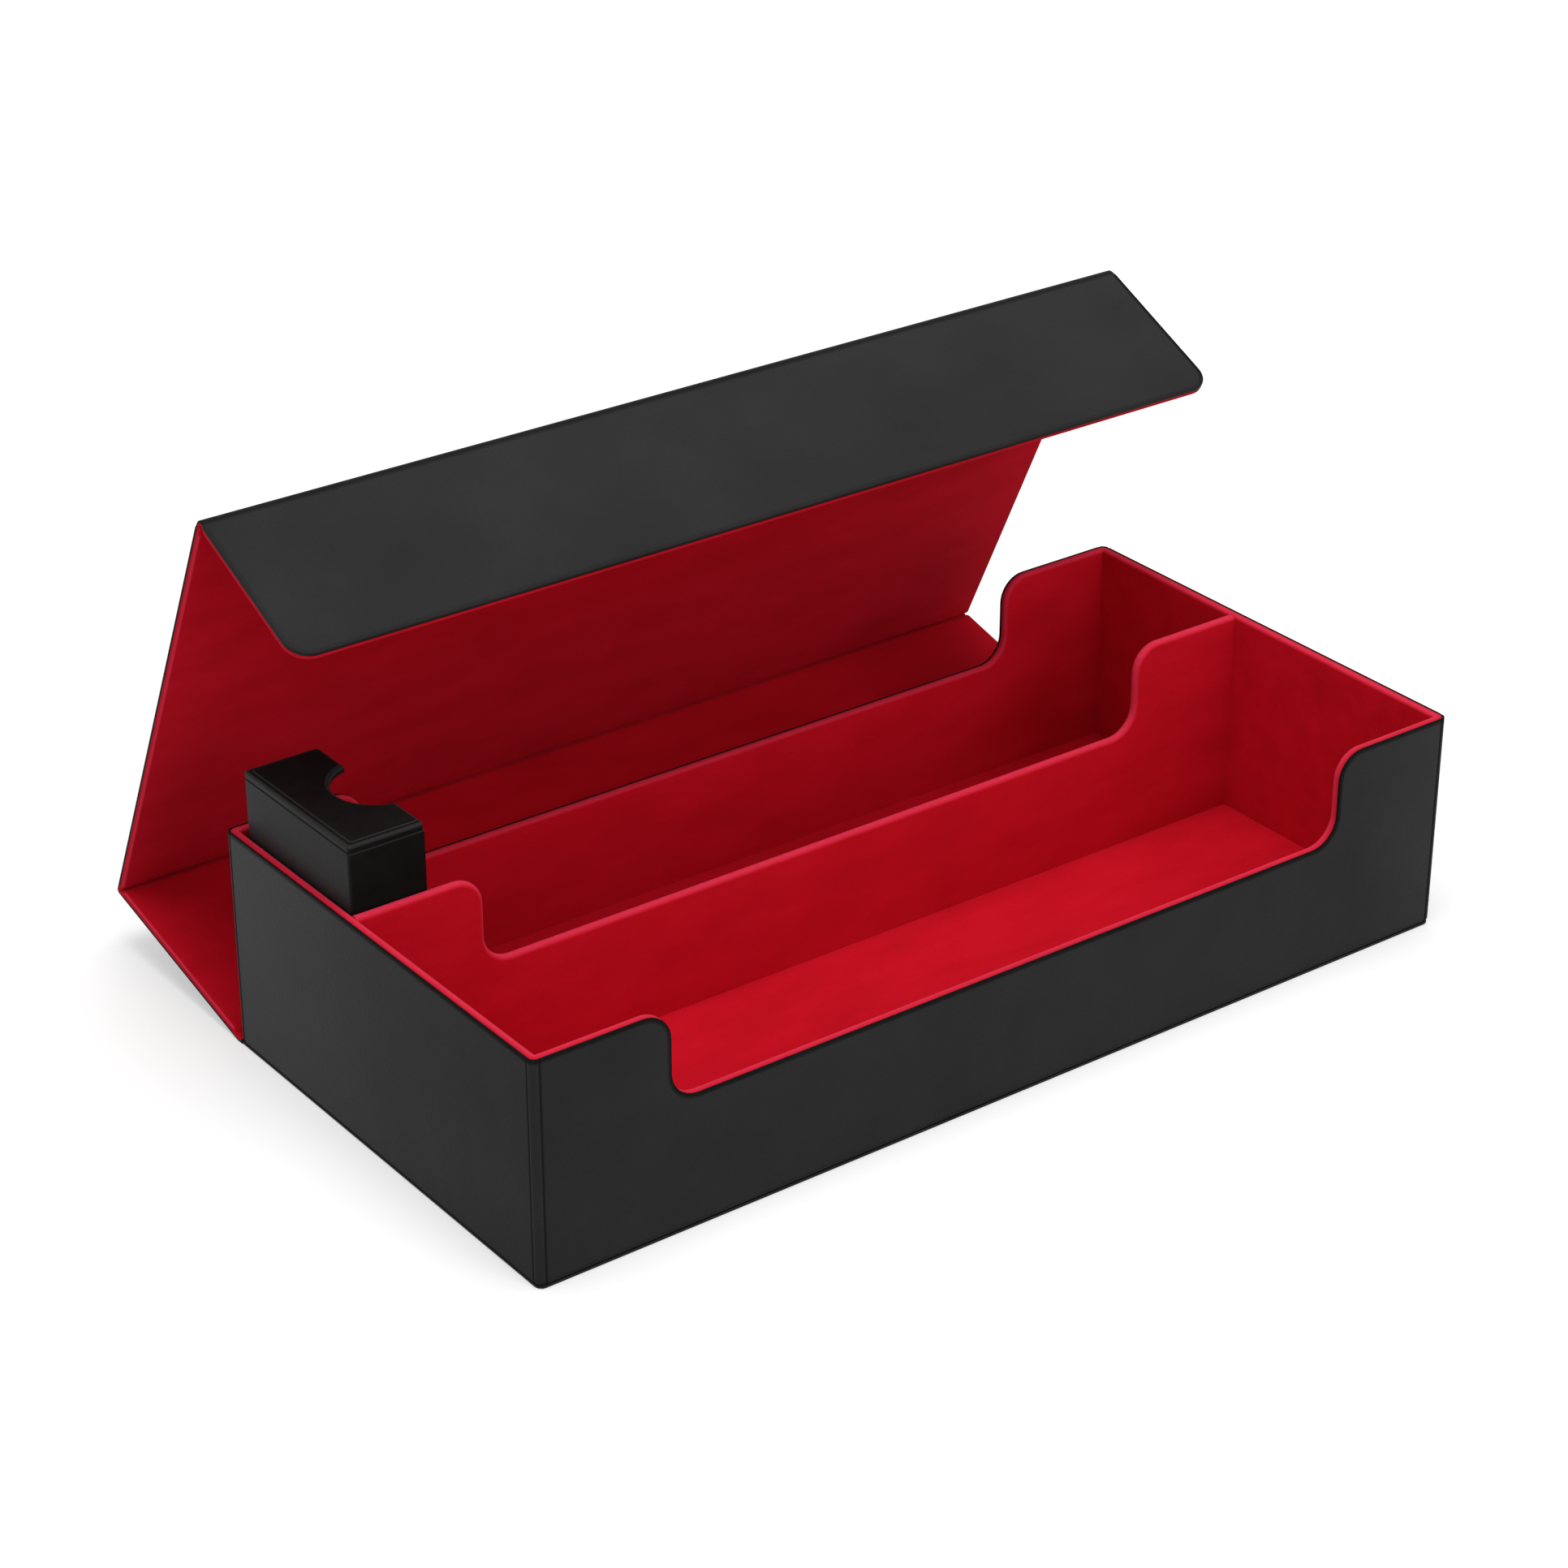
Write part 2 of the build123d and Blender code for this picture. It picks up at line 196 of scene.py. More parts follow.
class Shader:
    """Node tree of one material, with short calls for the nodes that the finishes use."""

    def __init__(self, name):
        self.material = bpy.data.materials.new(name)
        self.material.use_nodes = True
        self.tree = self.material.node_tree
        self.surface = self.tree.nodes["Principled BSDF"]
        self.place = self.tree.nodes.new("ShaderNodeTexCoord").outputs["Object"]

    def node(self, kind, inputs=None, **settings):
        """New node with its settings, and its inputs linked or set."""
        made = self.tree.nodes.new(kind)
        for name, value in settings.items():
            setattr(made, name, value)
        for name, value in (inputs or {}).items():
            if isinstance(value, bpy.types.NodeSocket):
                self.tree.links.new(value, made.inputs[name])
            else:
                made.inputs[name].default_value = value
        return made

    def stretched(self, scale):
        """Place with each axis scaled, for marks that run one way."""
        return self.node("ShaderNodeMapping", {"Vector": self.place, "Scale": scale}).outputs["Vector"]

    def noise(self, size, detail=3.0, roughness=0.55, place=None):
        """Cloudy noise with marks of about the given size in metres."""
        inputs = {"Vector": place or self.place, "Scale": 1 / size}
        inputs.update({"Detail": detail, "Roughness": roughness})
        return self.node("ShaderNodeTexNoise", inputs).outputs["Fac"]

    def cells(self, size):
        """Rounded cells of about the given size in metres, dark at their borders."""
        inputs = {"Vector": self.place, "Scale": 1 / size, "Smoothness": 0.35}
        return self.node("ShaderNodeTexVoronoi", inputs, feature="SMOOTH_F1").outputs["Distance"]

    def ramp(self, factor, *stops):
        """Colours at positions along a factor."""
        made = self.node("ShaderNodeValToRGB", {"Fac": factor})
        elements = made.color_ramp.elements
        while len(elements) < len(stops):
            elements.new(0.5)
        for element, (position, colour) in zip(elements, stops):
            element.position = position
            element.color = (*colour, 1.0)
        return made.outputs["Color"]

    def mixed(self, factor, base, colour):
        """Base with a colour mixed in by a factor."""
        made = self.node("ShaderNodeMix", data_type="RGBA")
        self.tree.links.new(factor, made.inputs[mix_factor])
        self.tree.links.new(base, made.inputs[mix_base])
        made.inputs[mix_colour].default_value = (*colour, 1.0)
        return made.outputs[mix_result]

    def scaled(self, value, low, high):
        """Value from 0 to 1, mapped to a range."""
        inputs = {"Value": value, "To Min": low, "To Max": high}
        return self.node("ShaderNodeMapRange", inputs).outputs["Result"]

    def times(self, one, two):
        """Product of two values."""
        made = self.node("ShaderNodeMath", operation="MULTIPLY")
        self.tree.links.new(one, made.inputs[0])
        self.tree.links.new(two, made.inputs[1])
        return made.outputs["Value"]

    def wear(self):
        """How much a place is marked, as the meshes carry it: painted shade on leather, worn nap and a painted
        highlight on suede.
        """
        return self.node("ShaderNodeAttribute", attribute_name="wear_and_painted_light").outputs["Fac"]

    def bump(self, height, depth, strength, below=None):
        """Relief of a height in metres, over one below it."""
        inputs = {"Height": height, "Distance": depth, "Strength": strength}
        if below:
            inputs["Normal"] = below
        return self.node("ShaderNodeBump", inputs).outputs["Normal"]

    def set(self, **values):
        """Inputs of the surface, linked or set."""
        for name, value in values.items():
            socket = self.surface.inputs[name.replace("_", " ")]
            if isinstance(value, bpy.types.NodeSocket):
                self.tree.links.new(value, socket)
            else:
                socket.default_value = value


def make_leatherette():
    """Black coated leather: fine pebble grain, faint wrinkles, and painted shade at edges, grooves and folds."""
    s = Shader("black_leatherette")
    grain = s.cells(size=0.75 * MM)
    pores = s.noise(size=0.3 * MM, detail=2.0)
    wrinkles = s.noise(size=9 * MM, detail=4.0)
    clouds = s.noise(size=45 * MM)
    base = s.ramp(clouds, (0.3, leather_dark), (0.7, leather_pale))
    grained = s.mixed(s.scaled(grain, low=0.0, high=0.4), base, leather_grain)
    # Painted shade: darker where the meshes mark edges, grooves, folds and the shaded sides of the insert
    with_wear_and_painted_light = s.mixed(s.times(s.wear(), s.scaled(wrinkles, low=0.5, high=0.9)), grained, leather_painted_shade)
    relief = s.bump(wrinkles, depth=0.25 * MM, strength=0.25)
    relief = s.bump(grain, depth=0.12 * MM, strength=0.35, below=relief)
    relief = s.bump(pores, depth=0.04 * MM, strength=0.25, below=relief)
    s.set(
        Base_Color=with_wear_and_painted_light, Roughness=s.scaled(pores, low=0.42, high=0.62),
        Specular_IOR_Level=s.scaled(s.wear(), low=0.08, high=0.02), Normal=relief,
    )
    return s.material


def make_suede():
    """Red brushed suede: short nap, brush marks, paler where it is folded over an edge, partly from worn nap and
    partly as a painted highlight.
    """
    s = Shader("red_suede")
    nap = s.noise(size=0.35 * MM, detail=2.0, roughness=0.7)
    tufts = s.noise(size=2.2 * MM)
    brushed = s.noise(size=14 * MM, place=s.stretched((0.35, 1.0, 1.0)))
    base = s.ramp(brushed, (0.25, suede_dark), (0.50, suede_middle), (0.78, suede_pale))
    shaded = s.mixed(s.scaled(tufts, low=0.0, high=0.30), base, suede_tufts)
    napped = s.mixed(s.scaled(nap, low=0.0, high=0.28), shaded, suede_nap)
    # Paler at the marked rims and edges: partly worn nap, partly a painted highlight
    with_wear_and_painted_light = s.mixed(s.times(s.wear(), s.scaled(tufts, low=0.45, high=0.85)), napped, suede_worn_and_highlight)
    relief = s.bump(tufts, depth=0.2 * MM, strength=0.3)
    relief = s.bump(nap, depth=0.12 * MM, strength=0.6, below=relief)
    s.set(
        Base_Color=with_wear_and_painted_light, Roughness=0.95, Specular_IOR_Level=0.06, Normal=relief,
        Sheen_Weight=0.10, Sheen_Roughness=0.45, Sheen_Tint=suede_sheen,
    )
    return s.material


def make_board():
    """Raw grey board with flecks and cut fibres."""
    s = Shader("grey_board")
    fibres = s.noise(size=1.6 * MM, detail=4.0, place=s.stretched((0.25, 1.0, 1.0)))
    flecks = s.noise(size=0.5 * MM, detail=2.0)
    base = s.ramp(fibres, (0.3, board_dark), (0.7, board_pale))
    s.set(
        Base_Color=s.mixed(s.scaled(flecks, low=0.0, high=0.4), base, board_flecks),
        Roughness=0.9,
        Normal=s.bump(fibres, depth=0.1 * MM, strength=0.4),
    )
    return s.material


def make_steel():
    """Nickel plated magnet discs with a faint turned finish."""
    s = Shader("magnet_steel")
    lines = s.noise(size=0.4 * MM, detail=2.0, place=s.stretched((1.0, 6.0, 1.0)))
    s.set(
        Base_Color=s.ramp(lines, (0.3, steel_dark), (0.7, steel_pale)),
        Metallic=1.0,
        Roughness=s.scaled(lines, low=0.22, high=0.38),
        Normal=s.bump(lines, depth=0.02 * MM, strength=0.2),
    )
    return s.material


finishes = {
    "black_leatherette": make_leatherette(),
    "red_suede": make_suede(),
    "grey_board": make_board(),
    "magnet_steel": make_steel(),
}


# Meshes


def make_piece(name, shells, slot):
    """Smooth shaded mesh object of shells, each given as points, faces and the wear and painted light of each
    point.
    """
    points, faces, wear = [], [], []
    for shell_points, shell_faces, shell_wear_and_light in shells:
        faces += [tuple(len(points) + i for i in face) for face in shell_faces]
        points += shell_points
        wear += shell_wear_and_light
    mesh = bpy.data.meshes.new(name)
    mesh.from_pydata(points, [], faces)
    shape = bmesh.new()
    shape.from_mesh(mesh)
    bmesh.ops.recalc_face_normals(shape, faces=shape.faces)
    shape.to_mesh(mesh)
    shape.free()
    mesh.polygons.foreach_set("use_smooth", [True] * len(mesh.polygons))
    mesh.set_sharp_from_angle(angle=smooth_angle)
    mesh.attributes.new("wear_and_painted_light", "FLOAT", "POINT").data.foreach_set("value", wear)
    piece = bpy.data.objects.new(name, mesh)
    bpy.context.scene.collection.objects.link(piece)
    mesh.materials.append(finishes[slot])
    return piece


def tube(loops, ring=False):
    """Shell through a row of equal loops of (point, wear and painted light); a ring joins its last loop to its
    first.
    """
    count = len(loops[0])
    points = [point for loop in loops for point, wear in loop]
    wear_and_light = [wear for loop in loops for point, wear in loop]
    faces = []
    for i in range(len(loops) if ring else len(loops) - 1):
        near = i * count
        far = (i + 1) % len(loops) * count
        for j in range(count):
            k = (j + 1) % count
            faces.append((near + j, near + k, far + k, far + j))
    if not ring:
        faces.append(tuple(range(count)))
        faces.append(tuple(range(len(points) - count, len(points))))
    return points, faces, wear_and_light


def quarter(steps):
    """Angles of a quarter turn, both ends included."""
    return [math.pi / 2 * k / steps for k in range(steps + 1)]


# Walls of the tray


def rim_path(half, cut_half):
    """Rim of a long wall from -half to half, as (distance, height, normal along, normal up)."""
    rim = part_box("outer_wrap")[1].z
    path = [(-half, rim, 0.0, 1.0)]
    start = cut_half + shoulder_radius
    for a in quarter(arc_steps):
        s = -start + shoulder_radius * math.sin(a)
        z = rim - shoulder_radius * (1 - math.cos(a))
        path.append((s, z, math.sin(a), math.cos(a)))
    for a in quarter(arc_steps):
        s = -cut_half + cutout_radius * (1 - math.cos(a))
        z = cutout_floor + cutout_radius * (1 - math.sin(a))
        path.append((s, z, math.cos(a), math.sin(a)))
    return path + [(-s, z, -along, up) for s, z, along, up in reversed(path)]


def foot_places(path, drop):
    """Distance along the wall at which the column below each point of the rim meets the foot.

    Each stands straight below where its point is a drop inside the rim. Columns fan out a little at the
    upright side of the cut-out, where two would fall together.
    """
    places = []
    for i, (s, z, along, up) in enumerate(path):
        shoulder = i <= arc_steps + 1 or i >= len(path) - arc_steps - 2
        outward = -fan if shoulder else fan
        places.append(s - drop * along + outward * along)
    return places


def wall_profile(depth):
    """Section of a wall's suede as (anchor, along the rim's normal, out from the lane, wear and painted
    highlight).
    """
    rows = [("foot", 0, 0, 0), ("rim", -rim_radius - support, 0, 0)]
    # The rim is paled most at its top and a little behind it: partly worn nap, partly a painted highlight
    for a in quarter(edge_steps):
        out = rim_radius * (1 - math.cos(a))
        rows.append(("rim", -rim_radius * (1 - math.sin(a)), out, math.sin(a)))
    for a in quarter(edge_steps):
        out = depth - rim_back_radius * (1 - math.sin(a))
        rows.append(("rim", -rim_back_radius * (1 - math.cos(a)), out, rim_back_wear_and_highlight))
    return rows + [("rim", -suede, depth, 0), ("rim", -suede, suede, 0), ("foot", 0, suede, 0)]


def divider_profile(depth):
    """Section of the divider's suede, over both faces and the rim."""
    half = [("foot", 0, 0, 0), ("rim", -divider_rim_radius - support, 0, 0)]
    # The rim is paled most at its top: partly worn nap, partly a painted highlight
    for a in quarter(edge_steps):
        out = divider_rim_radius * (1 - math.cos(a))
        half.append(("rim", -divider_rim_radius * (1 - math.sin(a)), out, math.sin(a)))
    far = [(anchor, d, depth - out, wear) for anchor, d, out, wear in reversed(half)]
    inside = [("foot", 0, depth - suede, 0), ("rim", -suede, depth - suede, 0)]
    inside += [("rim", -suede, suede, 0), ("foot", 0, suede, 0)]
    return half + far + inside


def wall_suede(name, node, start, along, out, path, profile, depth, mitred):
    """Suede of one wall, swept along its rim; mitred ends follow the soft outer corners of the tray."""
    foot_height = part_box(node)[0].z
    drop = -profile[1][1]
    feet = foot_places(path, drop)
    columns = [(s, foot, z, na, nu, 0.0, 1.0) for (s, z, na, nu), foot in zip(path, feet)]
    if mitred:
        columns = mitre(columns, depth)
    loops = []
    for s, foot, z, na, nu, shift, shrink in columns:
        loop = []
        for anchor, d, w, wear in profile:
            place = foot if anchor == "foot" else s + d * na
            height = foot_height + d if anchor == "foot" else z + d * nu
            aside = shift * w / depth
            point = start + along * (place + aside) + out * (w * shrink) + Vector((0, 0, height))
            loop.append((point, wear))
        loops.append(loop)
    piece = make_piece(name, [tube(loops)], "red_suede")
    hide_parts(node)
    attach(piece, "tray")


def mitre(columns, depth):
    """Columns with both ends drawn round the corner, to the corner's diagonal."""
    bend = corner_radius - wrap_leather
    stand_off = depth - bend
    run = 2 * bend
    diagonal = math.pi / 4
    ends = []
    for a in (diagonal, diagonal / 2, 0.0):
        inner = run * (1 - a / diagonal)
        shift = stand_off + bend * math.sin(a) + inner
        ends.append((inner, shift, (stand_off + bend * math.cos(a)) / depth))
    first, last = columns[0], columns[-1]
    near = [(first[0] + i, first[1] + i, *first[2:5], -shift, shrink) for i, shift, shrink in ends]
    far = [(last[0] - i, last[1] - i, *last[2:5], shift, shrink) for i, shift, shrink in reversed(ends)]
    return near + columns[1:-1] + far


def dress_walls():
    """Suede of the four walls and of the divider."""
    wrap_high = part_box("outer_wrap")[1]
    divider_low, divider_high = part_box("divider_lining")
    inner_x = divider_high.x
    inner_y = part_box("back_lining")[0].y
    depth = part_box("back_lining")[1].y - inner_y
    cut_half = wrap_high.x - shoulder_length
    long_path = rim_path(inner_x, cut_half)
    end_path = [(-inner_y, wrap_high.z, 0.0, 1.0), (inner_y, wrap_high.z, 0.0, 1.0)]
    along_x = Vector((1, 0, 0))
    along_y = Vector((0, 1, 0))
    walls = (
        ("front_wall_suede", "front_lining", Vector((0, -inner_y, 0)), along_x, -along_y, long_path),
        ("back_wall_suede", "back_lining", Vector((0, inner_y, 0)), along_x, along_y, long_path),
        ("left_wall_suede", "left_lining", Vector((-inner_x, 0, 0)), along_y, -along_x, end_path),
        ("right_wall_suede", "right_lining", Vector((inner_x, 0, 0)), along_y, along_x, end_path),
    )
    for name, node, start, along, out, path in walls:
        wall_suede(name, node, start, along, out, path, wall_profile(depth), depth, True)
    thickness = divider_high.y - divider_low.y
    start = Vector((0, divider_low.y, 0))
    wall_suede("divider_suede", "divider_lining", start, along_x, along_y, long_path,
               divider_profile(thickness), thickness, False)


def wrap_columns():
    """Columns round the tray as (foot, rim, rim normal, outward, groove depth), from the front left."""
    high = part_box("outer_wrap")[1]
    cut_half = high.x - shoulder_length
    up = Vector((0, 0, 1))
    columns = []
    for side in range(4):
        turn = Matrix.Rotation(side * math.pi / 2, 3, "Z")
        along = turn @ Vector((1, 0, 0))
        out = turn @ Vector((0, -1, 0))
        half, reach = (high.x, high.y) if side % 2 == 0 else (high.y, high.x)
        flat = half - corner_radius
        if side % 2 == 0:
            path = rim_path(flat, cut_half)
        else:
            path = [(-flat, high.z, 0.0, 1.0), (flat, high.z, 0.0, 1.0)]
        feet = foot_places(path, wrap_leather / 2 + 2 * support)
        start = out * reach
        rows = list(zip(path, feet))
        first, last = rows[0], rows[-1]
        rows = [(first, groove_depth)] + [(row, 0.0) for row in rows[1:-1]] + [(last, groove_depth)]
        edge = flat - groove_half_width
        for s, index in ((-edge, 1), (edge, -1)):
            rows.insert(index, (((s, high.z, 0.0, 1.0), s), 0.0))
        for ((s, z, na, nu), foot), depth in rows:
            rim = start + along * s + up * z
            columns.append((start + along * foot, rim, along * na + up * nu, out, depth))
        centre = start + along * flat - out * corner_radius
        for k in range(1, edge_steps + 2):
            a = math.pi / 2 * k / (edge_steps + 2)
            normal = along * math.sin(a) + out * math.cos(a)
            place = centre + normal * corner_radius
            columns.append((place, place + up * high.z, up, normal, 0.0))
    return columns


def wrap_profile(low):
    """Section of the wrap: turned under the foot, up the wall, round the cut edge and down inside."""
    lip = wrap_leather / 2
    # Painted shade darkens the leather at the foot, just below the rim and all round the cut edge
    rows = [("foot", low, -foot_turn, 0)]
    for a in quarter(edge_steps):
        out = -foot_radius * (1 - math.sin(a))
        rows.append(("foot", low + foot_radius * (1 - math.cos(a)), out, foot_painted_shade))
    rows += [("foot", low + foot_radius + support, 0, 0), ("rim", -lip - 2 * support, 0, 0)]
    rows.append(("rim", -lip - support, 0, lip_painted_shade))
    for k in range(2 * edge_steps + 1):
        a = math.pi * k / (2 * edge_steps)
        rows.append(("rim", -lip * (1 - math.sin(a)), -lip * (1 - math.cos(a)), 1.0))
    inner = foot_radius - wrap_leather
    for a in reversed(quarter(edge_steps)):
        out = -wrap_leather - inner * (1 - math.sin(a))
        rows.append(("foot", low + wrap_leather + inner * (1 - math.cos(a)), out, 0))
    return rows + [("foot", low + wrap_leather, -foot_turn, 0)]


def dress_wrap():
    """Leather round the tray, with a groove each side of every upright corner."""
    profile = wrap_profile(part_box("outer_wrap")[0].z)
    loops = []
    for foot, rim, rim_normal, out, groove in wrap_columns():
        loop = []
        for anchor, d, w, wear in profile:
            point = foot + Vector((0, 0, d)) if anchor == "foot" else rim + rim_normal * d
            outside = w > -wrap_leather / 2
            # Painted shade darkens the grooves
            pressed = groove if outside else 0.0
            loop.append((point + out * (w - pressed), max(wear, 1.0 if pressed else 0.0)))
        loops.append(loop)
    piece = make_piece("tray_leather", [tube(loops, ring=True)], "black_leatherette")
    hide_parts("outer_wrap")
    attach(piece, "tray")


# Flat pieces with soft edges


def layered(outline, layers, place):
    """Shell over an outline of (point, inward at a free edge, inward at a fold).

    Layers are (inset of the free edges, inset at the folds, height, wear and painted light), where the last can be
    a function of the way inward.
    """
    loops = []
    for free, fold, height, wear in layers:
        loop = []
        for point, inward, end in outline:
            x, u = (p + a * free + b * fold for p, a, b in zip(point, inward, end))
            loop.append((place(x, u, height), wear(inward) if callable(wear) else wear))
        loops.append(loop)
    return tube(loops)


def rectangle(x0, x1, u0, u1):
    """Outline of a rectangle whose four sides are free."""
    corners = [(x0, u0, 1, 1), (x1, u0, -1, 1), (x1, u1, -1, -1), (x0, u1, 1, -1)]
    return [((x, u), (dx, du), (0, 0)) for x, u, dx, du in corners]


def corner_points(x, y, side_x, side_y, radius):
    """Round corner of an outline, in order of a turn from its X side to its Y side."""
    points = []
    for a in quarter(edge_steps):
        out = (side_x * math.cos(a), side_y * math.sin(a))
        place = (x + radius * (out[0] - side_x), y + radius * (out[1] - side_y))
        points.append((place, (-out[0], -out[1]), (0, 0)))
    return points


def soft_edge(radius, height, sign):
    """Layers that round an edge off up to a height; sign says which way is out."""
    layers = []
    for a in quarter(edge_steps):
        level = height - sign * radius * (1 - math.sin(a))
        # The last field peaks halfway round the edge: painted shade on leather, a paler edge on suede that is
        # partly worn nap and partly a painted highlight
        layers.append((radius * (1 - math.cos(a)), 0, level, math.sin(2 * a)))
    return layers + [(radius + support, 0, height, 0)]


def upright(x, y, z):
    """Place in the case's own frame."""
    return Vector((x, y, z))


def dress_floors():
    """Suede pads on the floor of each lane."""
    for lane in ("front", "rear"):
        name = lane + "_floor_suede"
        node = lane + "_floor_lining"
        low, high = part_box(node)
        edge = [(free, fold, z, 0) for free, fold, z, wear in soft_edge(pad_edge, high.z, 1)]
        layers = [(0, 0, low.z, 0)] + edge
        pad = layered(rectangle(low.x, high.x, low.y, high.y), layers, upright)
        piece = make_piece(name, [pad], "red_suede")
        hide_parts(node)
        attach(piece, "tray")


# Lid


folds = {joint["name"]: Vector(joint["pos_m"]) for joint in frame["joints"] if joint["type"] == "hinge"}
base_fold = folds["lid_swing"]
top_fold = folds["top_crease"]
flap_fold = folds["flap_crease"]
roll_low, roll_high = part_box("top_crease_roll")
half_panel = (roll_high.z - roll_low.z) / 2
skin_back = half_panel - cover_skin
edge_back = half_panel - cover_edge
half_length = roll_high.x


def heading(start, end):
    """Angle of the way from one fold to the next, from +Y towards +Z."""
    return math.atan2(end.z - start.z, end.y - start.y)


spine_angle = heading(base_fold, top_fold)
top_angle = heading(top_fold, flap_fold)
flap_angle = top_angle + math.pi / 2
spine_reach = (top_fold - base_fold).length
top_reach = (flap_fold - top_fold).length


def on_panel(fold, angle):
    """Places points of a panel: x, along the panel from its fold, and height towards its lining."""
    along = Vector((0, math.cos(angle), math.sin(angle)))
    up = Vector((0, -math.sin(angle), math.cos(angle)))
    return lambda x, u, w: Vector((x, 0, 0)) + Vector((0, fold.y, fold.z)) + along * u + up * w


def panel_outline(u0, u1, tip_radius=0.0):
    """Outline of a lid panel; without a tip radius its far end is a fold too."""
    near = [((-half_length, u0), (1, 0), (0, 1)), ((half_length, u0), (-1, 0), (0, 1))]
    if not tip_radius:
        return near + [((half_length, u1), (-1, 0), (0, -1)), ((-half_length, u1), (1, 0), (0, -1))]
    tip = []
    for side in (1, -1):
        arc = []
        for a in quarter(arc_steps):
            out = (side * math.cos(a), math.sin(a))
            centre = (side * (half_length - tip_radius), u1 - tip_radius)
            point = (centre[0] + tip_radius * out[0], centre[1] + tip_radius * out[1])
            arc.append((point, (-out[0], -out[1]), (0, 0)))
        tip += arc if side > 0 else arc[::-1]
    return near + tip


def flap_painted_shade(inward):
    """Painted shade on the flap's rim: a little all round, and most at its right end, which lies away from the
    light.
    """
    return max(flap_rim_painted_shade, -inward[0])


def dress_panel(body, fold, angle, skin_ends, suede_ends, tip_radius=0.0, rim_painted_shade=1.0):
    """Leather outside and suede inside of one lid panel, ending where the soft folds begin."""
    place = on_panel(fold, angle)
    # Painted shade darkens the leather's turned edge and its rounded rim
    layers = [(suede, suede, -skin_back, 1.0), (suede, suede, -edge_back, 1.0)]
    layers.append((0, 0, -edge_back, rim_painted_shade))
    edge = soft_edge(skin_edge, -half_panel, -1)
    layers += [(free, end, w, rim_painted_shade) for free, end, w, wear in edge]
    layers.append((skin_edge + 2 * support, 0, -half_panel, 0))
    shell = layered(panel_outline(*skin_ends, tip_radius), layers, place)
    skin = make_piece(body + "_leather", [shell], "black_leatherette")
    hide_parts(body + "_skin")
    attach(skin, body)
    layers = [(suede, suede, half_panel - suede, 0), (suede, suede, -edge_back, 0)]
    layers.append((0, 0, -edge_back, 0))
    # The lining's rounded edge is paled: partly worn nap, partly a painted highlight
    layers += soft_edge(lining_edge, half_panel, 1)
    shell = layered(panel_outline(*suede_ends, tip_radius), layers, place)
    lining = make_piece(body + "_suede", [shell], "red_suede")
    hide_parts(body + "_lining")
    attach(lining, body)


def stations(radius):
    """X of the sections along a fold, with how far each is rounded down near the two ends."""
    near = []
    for a in quarter(edge_steps):
        near.append((-half_length + radius * (1 - math.cos(a)), radius * (1 - math.sin(a))))
    return near + [(-x, drop) for x, drop in reversed(near)]


class Fold:
    """One soft fold between two panels: its line and the two headings that meet there."""

    def __init__(self, line, before, after):
        self.line = line
        self.before = on_panel(line, before)
        self.after = on_panel(line, after)
        self.turn = after - before
        self.start = before - math.pi / 2
        middle = (before + after) / 2
        self.across = Vector((0, math.cos(middle), math.sin(middle)))
        self.inward = Vector((0, -math.sin(middle), math.cos(middle)))

    def way(self, x, layer, radius, first_reach, last_reach):
        """Points from one panel round the bend to the next, at a layer's height outside the middle."""
        set_in = (radius - layer) / math.cos(self.turn / 2)
        tangent = set_in * math.sin(self.turn / 2)
        centre = Vector((x, self.line.y, self.line.z)) + self.inward * set_in
        points = []
        for k in range(way_steps):
            along = -first_reach + (first_reach - tangent) * k / way_steps
            points.append(self.before(x, along, -layer))
        for k in range(2 * arc_steps + 1):
            a = self.start + self.turn * k / (2 * arc_steps)
            points.append(centre + Vector((0, math.cos(a), math.sin(a))) * radius)
        for k in range(1, way_steps + 1):
            along = tangent + (last_reach - tangent) * k / way_steps
            points.append(self.after(x, along, -layer))
        return points

    def gutter(self, x, drop):
        """Lowest point of the suede in the fold."""
        return Vector((x, self.line.y, self.line.z)) + self.inward * (gutter_radius - drop)


def fold_piece(name, sections, slot):
    """Strip along a fold through sections of (point, wear and painted light)."""
    return make_piece(name, [tube(sections)], slot)


def unmarked(points):
    """Points with no wear and no painted light."""
    return [(point, 0.0) for point in points]


def bend_shares(count):
    """Share of the bend in each point on the way round a fold: none at the panels, all in the bend."""
    ramp = [k / way_steps for k in range(way_steps)]
    return ramp + [1.0] * (count - 2 * way_steps) + ramp[::-1]


def inner_way(fold, x, bend, first_reach, last_reach):
    """Inner face of the leather round a fold, from one panel's turned edge to the other's."""
    turned = fold.way(x, edge_back, bend - cover_edge, first_reach, last_reach)
    thin = fold.way(x, skin_back, bend - cover_skin, first_reach, last_reach)
    shares = bend_shares(len(thin))
    return [one.lerp(two, share) for one, two, share in zip(turned, thin, shares)]


def drawn_in(points, shares, neck):
    """Points near one end of a fold, each drawn in along the fold by a share of the neck."""
    moved = []
    for point, share in zip(points, shares):
        moved.append(point - Vector((math.copysign(neck * share, point.x), 0, 0)))
    return moved


def leather_strip(fold, bend, neck=0.0, start=0, stop=None):
    """Sections of the leather round a fold, or of a stretch of its points."""
    sections = []
    for x, drop in stations(skin_edge):
        outer = fold.way(x, half_panel - drop, bend - drop, skin_fold_reach, skin_fold_reach)
        inner = inner_way(fold, x, bend, skin_fold_reach, skin_fold_reach)
        shares = bend_shares(len(outer))
        outer = drawn_in(outer, shares, neck)
        inner = drawn_in(inner, shares, neck)
        # Painted shade darkens the leather round the bend
        wear = [bend_painted_shade * share for share in shares]
        outer = list(zip(outer, wear))
        inner = list(zip(inner, wear))
        sections.append(outer[start:stop] + inner[start:stop][::-1])
    return sections


